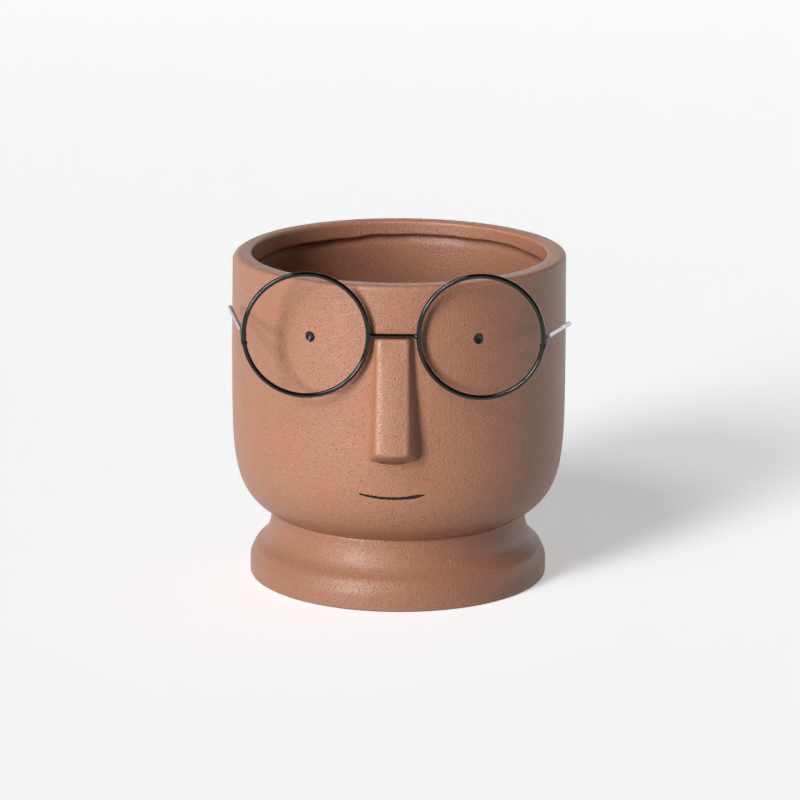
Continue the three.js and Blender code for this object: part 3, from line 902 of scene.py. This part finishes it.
def hang_light(scene, light, turn, rise, distance=4.0):
    """Hangs a light in the direction of a turn and a rise above the horizon, aimed at the pot."""
    flat = math.cos(rise)
    towards = Vector((math.sin(turn) * flat, -math.cos(turn) * flat, math.sin(rise)))
    lamp = bpy.data.objects.new(light.name, light)
    lamp.location = towards * distance
    lamp.rotation_euler = towards.to_track_quat("Z", "Y").to_euler()
    scene.collection.objects.link(lamp)


def set_inputs(tree, made, values):
    """Sets a node's inputs by name or number: a socket is linked and anything else is a fixed value."""
    for key, value in values.items():
        socket = made.inputs[key]
        if isinstance(value, bpy.types.NodeSocket):
            tree.links.new(value, socket)
        else:
            socket.default_value = value


def add_node(tree, kind, place, values=None, **settings):
    """A new node at a place (column, row) of the tree's sheet, with its settings and inputs."""
    made = tree.nodes.new(kind)
    made.location = (place[0] * 200, -place[1] * 190)
    for key, value in settings.items():
        setattr(made, key, value)
    set_inputs(tree, made, values or {})
    return made


def maths(tree, place, operation, first, second=0.0):
    """Output of a Math node."""
    made = add_node(tree, "ShaderNodeMath", place, {0: first, 1: second}, operation=operation)
    return made.outputs[0]


def spread(tree, place, value, low, high, to_low=0.0, to_high=1.0):
    """Output of a smooth Map Range node."""
    values = {"Value": value, "From Min": low, "From Max": high, "To Min": to_low, "To Max": to_high}
    made = add_node(tree, "ShaderNodeMapRange", place, values, interpolation_type="SMOOTHSTEP")
    return made.outputs["Result"]


def mixed(tree, place, share, first, second):
    """Output of a Mix node for colours."""
    made = add_node(tree, "ShaderNodeMix", place, {0: share, 6: first, 7: second}, data_type="RGBA")
    return made.outputs[2]


def opaque(values):
    """A colour with full alpha, as a colour socket takes it."""
    return (*values, 1.0)


def bumped(tree, place, height, strength, distance):
    """Normal of a Bump node."""
    values = {"Height": height, "Strength": strength, "Distance": distance}
    return add_node(tree, "ShaderNodeBump", place, values).outputs["Normal"]


def marked(tree, place, label):
    """Number that a piece's vertices carry under a label."""
    return add_node(tree, "ShaderNodeAttribute", place, attribute_name=label).outputs["Fac"]


def noise(tree, row, vector, scale, detail, low, high):
    """Noise of a scale, spread so that it runs from 0 at a low value to 1 at a high one."""
    values = {"Vector": vector, "Scale": scale, "Detail": detail}
    made = add_node(tree, "ShaderNodeTexNoise", (0, row), values)
    return spread(tree, (1, row), made.outputs["Fac"], low, high)


def spots(tree, row, vector, scale, near, far, channel, least, most):
    """Scattered spots: the middles of cells, kept where the cell's own random number passes a limit."""
    cells = add_node(tree, "ShaderNodeTexVoronoi", (0, row), {"Vector": vector, "Scale": scale})
    chance = add_node(tree, "ShaderNodeSeparateColor", (1, row), {"Color": cells.outputs["Color"]})
    spot = spread(tree, (2, row), cells.outputs["Distance"], near, far, 1.0, 0.0)
    kept = spread(tree, (3, row), chance.outputs[channel], least, most)
    return maths(tree, (4, row), "MULTIPLY", spot, kept)


def new_group(name, colours, numbers, results):
    """A shader node group that takes a Vector, colours and numbers, and gives a Color and other results.

    Returns the tree, its input sockets and its output node.
    """
    tree = bpy.data.node_groups.new(name, "ShaderNodeTree")
    sockets = [("Vector", "INPUT", "NodeSocketVector")]
    sockets += [(label, "INPUT", "NodeSocketColor") for label in colours]
    sockets += [(label, "INPUT", "NodeSocketFloat") for label in numbers]
    sockets += [("Color", "OUTPUT", "NodeSocketColor")]
    sockets += [(label, "OUTPUT", "NodeSocketFloat") for label in results]
    for label, way, kind in sockets:
        tree.interface.new_socket(name=label, in_out=way, socket_type=kind)
    entry = tree.nodes.new("NodeGroupInput")
    result = tree.nodes.new("NodeGroupOutput")
    entry.location = (-400, 0)
    result.location = (2000, 0)
    return tree, entry.outputs, result


def sandy_grain():
    """Group for sand in fired clay: slow patches, fine grain, scattered pits and pale specks, and relief.

    Patches and grain are noise at a few sizes. Pits and specks are scattered spots.
    """
    name = "Sandy grain"
    if name in bpy.data.node_groups:
        return bpy.data.node_groups[name]
    tree, given, result = new_group(name, ("Clay", "Patch", "Pit", "Sand"), (), ("Grain", "Height"))
    place = given["Vector"]
    patch = noise(tree, 0, place, scale=48.0, detail=3.0, low=0.38, high=0.64)
    fine = noise(tree, 1, place, scale=1750.0, detail=1.0, low=0.28, high=0.72)
    lump = noise(tree, 2, place, scale=700.0, detail=2.0, low=0.3, high=0.7)
    pit = spots(tree, 3, place, scale=1850.0, near=0.16, far=0.46, channel=0, least=0.58, most=0.99)
    sand = spots(tree, 4, place, scale=1450.0, near=0.06, far=0.55, channel=1, least=0.40, most=1.0)

    body = mixed(tree, (5, 0), patch, given["Clay"], given["Patch"])
    fine_share = maths(tree, (5, 1), "MULTIPLY", fine, 0.16)
    speck_share = maths(tree, (5, 2), "MULTIPLY", sand, 0.70)
    sand_share = maths(tree, (6, 1), "ADD", fine_share, speck_share)
    pale = mixed(tree, (7, 0), sand_share, body, given["Sand"])
    dark_share = maths(tree, (7, 2), "MULTIPLY", pit, 0.34)
    tone = mixed(tree, (8, 0), dark_share, pale, given["Pit"])

    relief = maths(tree, (6, 3), "MULTIPLY", fine, 0.25)
    for row, part, share in ((4, lump, 0.14), (5, sand, 0.9), (6, pit, -0.55)):
        rise = maths(tree, (row + 2, row), "MULTIPLY", part, share)
        relief = maths(tree, (row + 3, 3), "ADD", relief, rise)
    set_inputs(tree, result, {"Color": tone, "Grain": sand, "Height": relief})
    return tree


def coating():
    """Group for a brushed or dipped coat: slow waves in its thickness, fine dust and shine to match."""
    name = "Uneven coat"
    if name in bpy.data.node_groups:
        return bpy.data.node_groups[name]
    tree, given, result = new_group(name, ("Coat", "Dust"), ("Low", "High"), ("Roughness", "Height"))
    wave = noise(tree, 0, given["Vector"], scale=320.0, detail=2.0, low=0.3, high=0.7)
    speck = noise(tree, 1, given["Vector"], scale=1900.0, detail=2.0, low=0.5, high=0.78)
    share = maths(tree, (2, 1), "MULTIPLY", speck, 0.35)
    tone = mixed(tree, (3, 0), share, given["Coat"], given["Dust"])
    values = {"Value": wave, "To Min": given["Low"], "To Max": given["High"]}
    shine = add_node(tree, "ShaderNodeMapRange", (3, 1), values).outputs["Result"]
    height = maths(tree, (3, 2), "ADD", wave, share)
    set_inputs(tree, result, {"Color": tone, "Roughness": shine, "Height": height})
    return tree


def new_material(name):
    """A material with an empty sheet but for its Principled shader and output, and Object coordinates."""
    made = bpy.data.materials.new(name)
    made.use_nodes = True
    tree = made.node_tree
    shader = tree.nodes["Principled BSDF"]
    coordinates = add_node(tree, "ShaderNodeTexCoord", (-4, 0))
    return made, tree, shader, coordinates.outputs["Object"]


def add_coat(tree, place, coat, dust, low, high):
    """Outputs of an uneven coat of two colours, with roughness from low to high."""
    values = {"Vector": place, "Coat": opaque(coat), "Dust": opaque(dust), "Low": low, "High": high}
    return add_node(tree, "ShaderNodeGroup", (-3, 0), values, node_tree=coating()).outputs


def clay_material(finishes):
    """Unglazed sandy clay with a faint satin skin, painted shade inside the bowl, in the crease under the
    collar and towards the bottom of the pot, and a painted highlight on the nose's front edges, which are
    also smoother.
    """
    name = "fired_clay"
    if name in bpy.data.materials:
        return bpy.data.materials[name]
    made, tree, shader, place = new_material(name)
    values = {
        "Vector": place,
        "Clay": opaque(finishes.clay),
        "Patch": opaque(finishes.clay_warm),
        "Pit": opaque(finishes.clay_pit),
        "Sand": opaque(finishes.clay_grain),
    }
    sand = add_node(tree, "ShaderNodeGroup", (-3, 0), values, node_tree=sandy_grain()).outputs
    # Painted shade: darker clay towards the bottom of the pot, and inside the bowl and in its crease where
    # the bowl is marked
    height = add_node(tree, "ShaderNodeSeparateXYZ", (-3, 3), {"Vector": place}).outputs["Z"]
    low = spread(tree, (-2, 3), height, 0.012, 0.055, finishes.painted_shade_foot, 0.0)
    inside_shade = maths(tree, (-2, 4), "MULTIPLY", marked(tree, (-4, 3), "inside"), finishes.painted_shade_inside)
    painted_shade = maths(tree, (-1, 3), "MAXIMUM", low, inside_shade)
    tone = mixed(tree, (-2, 0), painted_shade, sand["Color"], opaque(finishes.clay_painted_shade))
    # Painted highlight: pale sand colour on the nose's marked front edges, which are also made less rough
    edge = marked(tree, (-4, 5), "rubbed")
    bare = maths(tree, (-3, 5), "MULTIPLY", edge, finishes.rubbed)
    tone = mixed(tree, (-1, 0), bare, tone, opaque(finishes.clay_grain))
    rough = spread(tree, (-3, 1), sand["Grain"], 0.0, 0.8, finishes.clay_rough, finishes.sand_rough)
    shine = maths(tree, (-3, 4), "MULTIPLY", edge, finishes.edge_highlight_smoothing)
    rough = maths(tree, (-2, 1), "SUBTRACT", rough, shine)
    normal = bumped(tree, (-2, 2), sand["Height"], 1.0, finishes.grain_height)
    shader.inputs["Specular IOR Level"].default_value = 0.6
    shader.inputs["Coat Weight"].default_value = 0.25
    shader.inputs["Coat Roughness"].default_value = 0.36
    set_inputs(tree, shader, {"Base Color": tone, "Roughness": rough, "Normal": normal})
    return made


def enamel_material(finishes):
    """Glossy black enamel brushed into the clay."""
    name = "brushed_enamel"
    if name in bpy.data.materials:
        return bpy.data.materials[name]
    made, tree, shader, place = new_material(name)
    coat = add_coat(tree, place, finishes.enamel, finishes.enamel_dust, 0.24, 0.42)
    normal = bumped(tree, (-2, 2), coat["Height"], 0.6, 0.00006)
    values = {"Base Color": coat["Color"], "Roughness": coat["Roughness"], "Normal": normal}
    set_inputs(tree, shader, values)
    return made


def wire_material(finishes, name="lacquered_wire", low=0.08, high=0.14):
    """Black lacquered wire with a span of roughness, bare metal where a piece is marked with wear."""
    if name in bpy.data.materials:
        return bpy.data.materials[name]
    made, tree, shader, place = new_material(name)
    coat = add_coat(tree, place, finishes.lacquer, finishes.lacquer_dust, low, high)
    worn = marked(tree, (-3, 2), "wear")
    tone = mixed(tree, (-1, 0), worn, coat["Color"], opaque(finishes.bare_wire))
    normal = bumped(tree, (-2, 3), coat["Height"], 0.5, 0.00001)
    shader.inputs["Specular IOR Level"].default_value = 0.5
    values = {"Base Color": tone, "Metallic": worn, "Roughness": coat["Roughness"], "Normal": normal}
    set_inputs(tree, shader, values)
    return made


# Operators, one for each piece or group of like pieces


class FLOWERPOT_OT_stage(bpy.types.Operator):
    """Set up the pale floor, the soft light and the camera"""

    bl_idname = "flowerpot.stage"
    bl_label = "Stage"
    bl_options = {"REGISTER", "UNDO"}

    def execute(self, context):
        scene = context.scene
        stage = scene.flowerpot_stage
        finishes = scene.flowerpot_finishes
        scene.view_settings.view_transform = "Standard"

        sweep = bpy.data.objects.new("sweep", sweep_mesh())
        scene.collection.objects.link(sweep)
        made, tree, shader, _ = new_material("studio_sweep")
        shader.inputs["Roughness"].default_value = 0.9
        shader.inputs["Specular IOR Level"].default_value = 0.0
        shader.inputs["Emission Color"].default_value = (1.0, 1.0, 1.0, 1.0)
        path = add_node(tree, "ShaderNodeLightPath", (-4, 2))
        seen = path.outputs["Is Camera Ray"]
        for column, kind in ((-3, "Is Glossy Ray"), (-2, "Is Transmission Ray")):
            seen = maths(tree, (column, 2), "MAXIMUM", seen, path.outputs[kind])
        glow = maths(tree, (-1, 2), "MULTIPLY", seen, stage.sweep_glow)
        facing = add_node(tree, "ShaderNodeNewGeometry", (-4, 0)).outputs["Normal"]
        level = add_node(tree, "ShaderNodeSeparateXYZ", (-3, 0), {"Vector": facing}).outputs["Z"]
        level = maths(tree, (-2, 0), "ABSOLUTE", level)
        dimmed = mixed(tree, (-2, 1), level, opaque(finishes.sweep), opaque(finishes.floor_bounce))
        tone = mixed(tree, (-1, 0), seen, dimmed, opaque(finishes.sweep))
        set_inputs(tree, shader, {"Base Color": tone, "Emission Strength": glow})
        sweep.data.materials.append(made)

        world = bpy.data.worlds.new("studio")
        scene.world = world
        world.use_nodes = True
        background = world.node_tree.nodes["Background"]
        background.inputs["Color"].default_value = (1.0, 1.0, 1.0, 1.0)
        background.inputs["Strength"].default_value = stage.fill

        for step, strength in enumerate((stage.key_low, stage.key_middle, stage.key_high), -1):
            key = bpy.data.lights.new("key", "SUN")
            key.angle = stage.key_width
            key.energy = strength * math.pi
            hang_light(scene, key, stage.key_turn, stage.key_rise + step * stage.key_step)

        side = bpy.data.lights.new("side", "AREA")
        side.shape = "RECTANGLE"
        side.size = stage.side_width
        side.size_y = stage.side_height
        side.energy = stage.side_strength * (math.pi * stage.side_distance) ** 2
        hang_light(scene, side, stage.side_turn, stage.side_rise, stage.side_distance)

        lens = bpy.data.cameras.new("camera")
        lens.lens = stage.lens
        lens.clip_end = 100.0
        camera = bpy.data.objects.new("camera", lens)
        turn = Matrix.Rotation(stage.camera_turn, 4, "Z")
        pitch = Matrix.Rotation(math.pi / 2 - stage.camera_pitch, 4, "X")
        roll = Matrix.Rotation(stage.camera_roll, 4, "Z")
        camera.matrix_world = Matrix.Translation(stage.camera_place) @ turn @ pitch @ roll
        scene.collection.objects.link(camera)
        scene.camera = camera
        return {"FINISHED"}


class FLOWERPOT_OT_bowl(bpy.types.Operator):
    """Turn the bowl with its lip, its eye pockets and the scratched line of its mouth"""

    bl_idname = "flowerpot.bowl"
    bl_label = "Bowl"
    bl_options = {"REGISTER", "UNDO"}

    def execute(self, context):
        scene = context.scene
        # inside carries the bowl's painted shade marks
        skin, inside = bowl_skin(scene.flowerpot_pot, scene.flowerpot_face)
        material = clay_material(scene.flowerpot_finishes)
        make_piece("pot_bowl", [skin], material, "pot", "clay", ["bowl"], inside=inside)
        return {"FINISHED"}


class FLOWERPOT_OT_foot(bpy.types.Operator):
    """Turn the flared foot with its closed floor"""

    bl_idname = "flowerpot.foot"
    bl_label = "Foot"
    bl_options = {"REGISTER", "UNDO"}

    def execute(self, context):
        scene = context.scene
        skin = foot_skin(scene.flowerpot_pot)
        material = clay_material(scene.flowerpot_finishes)
        make_piece("pot_foot", [skin], material, "pot", "clay", ["foot"])
        return {"FINISHED"}


class FLOWERPOT_OT_nose(bpy.types.Operator):
    """Lute the wedge nose on the front of the bowl"""

    bl_idname = "flowerpot.nose"
    bl_label = "Nose"
    bl_options = {"REGISTER", "UNDO"}

    def execute(self, context):
        scene = context.scene
        skin, rubbed = nose_skin(scene.flowerpot_pot, scene.flowerpot_face)
        material = clay_material(scene.flowerpot_finishes)
        make_piece("clay_nose", [skin], material, "pot", "clay", ["nose"], rubbed=rubbed)
        return {"FINISHED"}


class FLOWERPOT_OT_eyes(bpy.types.Operator):
    """Line both eye pockets with enamel"""

    bl_idname = "flowerpot.eyes"
    bl_label = "Eyes"
    bl_options = {"REGISTER", "UNDO"}

    def execute(self, context):
        scene = context.scene
        material = enamel_material(scene.flowerpot_finishes)
        for node in ("left_eye", "right_eye"):
            skin = eye_skin(scene.flowerpot_pot, scene.flowerpot_face, *eye_place(node))
            make_piece("enamel_" + node, [skin], material, "pot", "enamel", [node])
        return {"FINISHED"}


class FLOWERPOT_OT_mouth(bpy.types.Operator):
    """Line the scratched line of the mouth with enamel"""

    bl_idname = "flowerpot.mouth"
    bl_label = "Mouth"
    bl_options = {"REGISTER", "UNDO"}

    def execute(self, context):
        scene = context.scene
        skin = mouth_skin(scene.flowerpot_pot, scene.flowerpot_face)
        material = enamel_material(scene.flowerpot_finishes)
        make_piece("enamel_mouth", [skin], material, "pot", "enamel", ["mouth"])
        return {"FINISHED"}


class FLOWERPOT_OT_rims(bpy.types.Operator):
    """Bend the two wire rims"""

    bl_idname = "flowerpot.rims"
    bl_label = "Rims"
    bl_options = {"REGISTER", "UNDO"}

    def execute(self, context):
        scene = context.scene
        material = wire_material(scene.flowerpot_finishes)
        for node in ("left_rim", "right_rim"):
            low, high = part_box(node)
            skin = rim_skin(scene.flowerpot_spectacles, (low + high) / 2)
            make_piece("wire_" + node, [skin], material, "spectacles", "wire", [node])
        return {"FINISHED"}


class FLOWERPOT_OT_bridge(bpy.types.Operator):
    """Braze the bridge between the rims"""

    bl_idname = "flowerpot.bridge"
    bl_label = "Bridge"
    bl_options = {"REGISTER", "UNDO"}

    def execute(self, context):
        scene = context.scene
        sizes = scene.flowerpot_spectacles
        reach = (rim_low.x + rim_high.x) / 2 - sizes.rim_radius - 0.7 * sizes.rim_wire
        skin = bridge_skin(sizes, (bridge_low + bridge_high) / 2, reach)
        material = wire_material(scene.flowerpot_finishes)
        make_piece("wire_bridge", [skin], material, "spectacles", "wire", ["bridge"])
        return {"FINISHED"}


class FLOWERPOT_OT_hinges(bpy.types.Operator):
    """Set a leaf with two knuckles, a headed pin and a wire binding at the outer side of each rim"""

    bl_idname = "flowerpot.hinges"
    bl_label = "Hinges"
    bl_options = {"REGISTER", "UNDO"}

    def execute(self, context):
        scene = context.scene
        sizes = scene.flowerpot_spectacles
        material = wire_material(scene.flowerpot_finishes)
        for side in ("left", "right"):
            leaf, pin = side + "_hinge_leaf", side + "_hinge_pin"
            skins = leaf_skins(sizes, *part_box(leaf), hinges[side + "_temple"])
            make_piece("wire_" + leaf, skins, material, "spectacles", "wire", [leaf])
            skin = pin_skin(sizes, *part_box(pin))
            make_piece("wire_" + pin, [skin], material, "spectacles", "wire", [pin])
            low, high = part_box(side + "_rim")
            leaf_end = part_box(leaf)[0].z
            start, end = leaf_end - sizes.binding_below, leaf_end + sizes.binding_above
            sign = -1 if side == "left" else 1
            skin = binding_skin(sizes, (low + high) / 2, sign, start, end)
            make_piece(f"wire_{side}_binding", [skin], material, "spectacles", "wire", [])
        return {"FINISHED"}


class FLOWERPOT_OT_temples(bpy.types.Operator):
    """Hang a temple on each hinge"""

    bl_idname = "flowerpot.temples"
    bl_label = "Temples"
    bl_options = {"REGISTER", "UNDO"}

    def execute(self, context):
        scene = context.scene
        material = wire_material(scene.flowerpot_finishes, "drawn_wire", 0.22, 0.36)
        for node in ("left_temple", "right_temple"):
            skins, bare = temple_skins(scene.flowerpot_spectacles, node, hinges[node])
            make_piece("wire_" + node, skins, material, node, "bright_wire", [node], wear=bare)
        return {"FINISHED"}


class FLOWERPOT_PT_parts(bpy.types.Panel):
    """Sizes, finishes and steps of the flower pot"""

    bl_idname = "FLOWERPOT_PT_parts"
    bl_label = "Flower pot"
    bl_space_type = "VIEW_3D"
    bl_region_type = "UI"
    bl_category = "Flower pot"

    def draw(self, context):
        layout = self.layout
        steps = layout.column(align=True)
        for operator in OPERATORS:
            steps.operator(operator.bl_idname)
        for group, prefix in GROUPS:
            box = layout.box()
            box.label(text=group.__doc__)
            settings = getattr(context.scene, prefix)
            for name in group.__annotations__:
                box.prop(settings, name)


GROUPS = (
    (PotSizes, "flowerpot_pot"),
    (FaceSizes, "flowerpot_face"),
    (SpectacleSizes, "flowerpot_spectacles"),
    (Finishes, "flowerpot_finishes"),
    (StageSettings, "flowerpot_stage"),
)
OPERATORS = (
    FLOWERPOT_OT_stage,
    FLOWERPOT_OT_bowl,
    FLOWERPOT_OT_foot,
    FLOWERPOT_OT_nose,
    FLOWERPOT_OT_eyes,
    FLOWERPOT_OT_mouth,
    FLOWERPOT_OT_rims,
    FLOWERPOT_OT_bridge,
    FLOWERPOT_OT_hinges,
    FLOWERPOT_OT_temples,
)


def register():
    """Registers the settings, the operators and the panel."""
    for group, name in GROUPS:
        bpy.utils.register_class(group)
        setattr(bpy.types.Scene, name, PointerProperty(type=group))
    for operator in OPERATORS:
        bpy.utils.register_class(operator)
    bpy.utils.register_class(FLOWERPOT_PT_parts)


def unregister():
    """Takes the panel, the operators and the settings away again."""
    bpy.utils.unregister_class(FLOWERPOT_PT_parts)
    for operator in reversed(OPERATORS):
        bpy.utils.unregister_class(operator)
    for group, name in reversed(GROUPS):
        delattr(bpy.types.Scene, name)
        bpy.utils.unregister_class(group)


def main():
    register()
    bpy.ops.flowerpot.stage()
    bpy.ops.flowerpot.bowl()
    bpy.ops.flowerpot.foot()
    bpy.ops.flowerpot.nose()
    bpy.ops.flowerpot.eyes()
    bpy.ops.flowerpot.mouth()
    bpy.ops.flowerpot.rims()
    bpy.ops.flowerpot.bridge()
    bpy.ops.flowerpot.hinges()
    bpy.ops.flowerpot.temples()


if __name__ == "__main__":
    main()
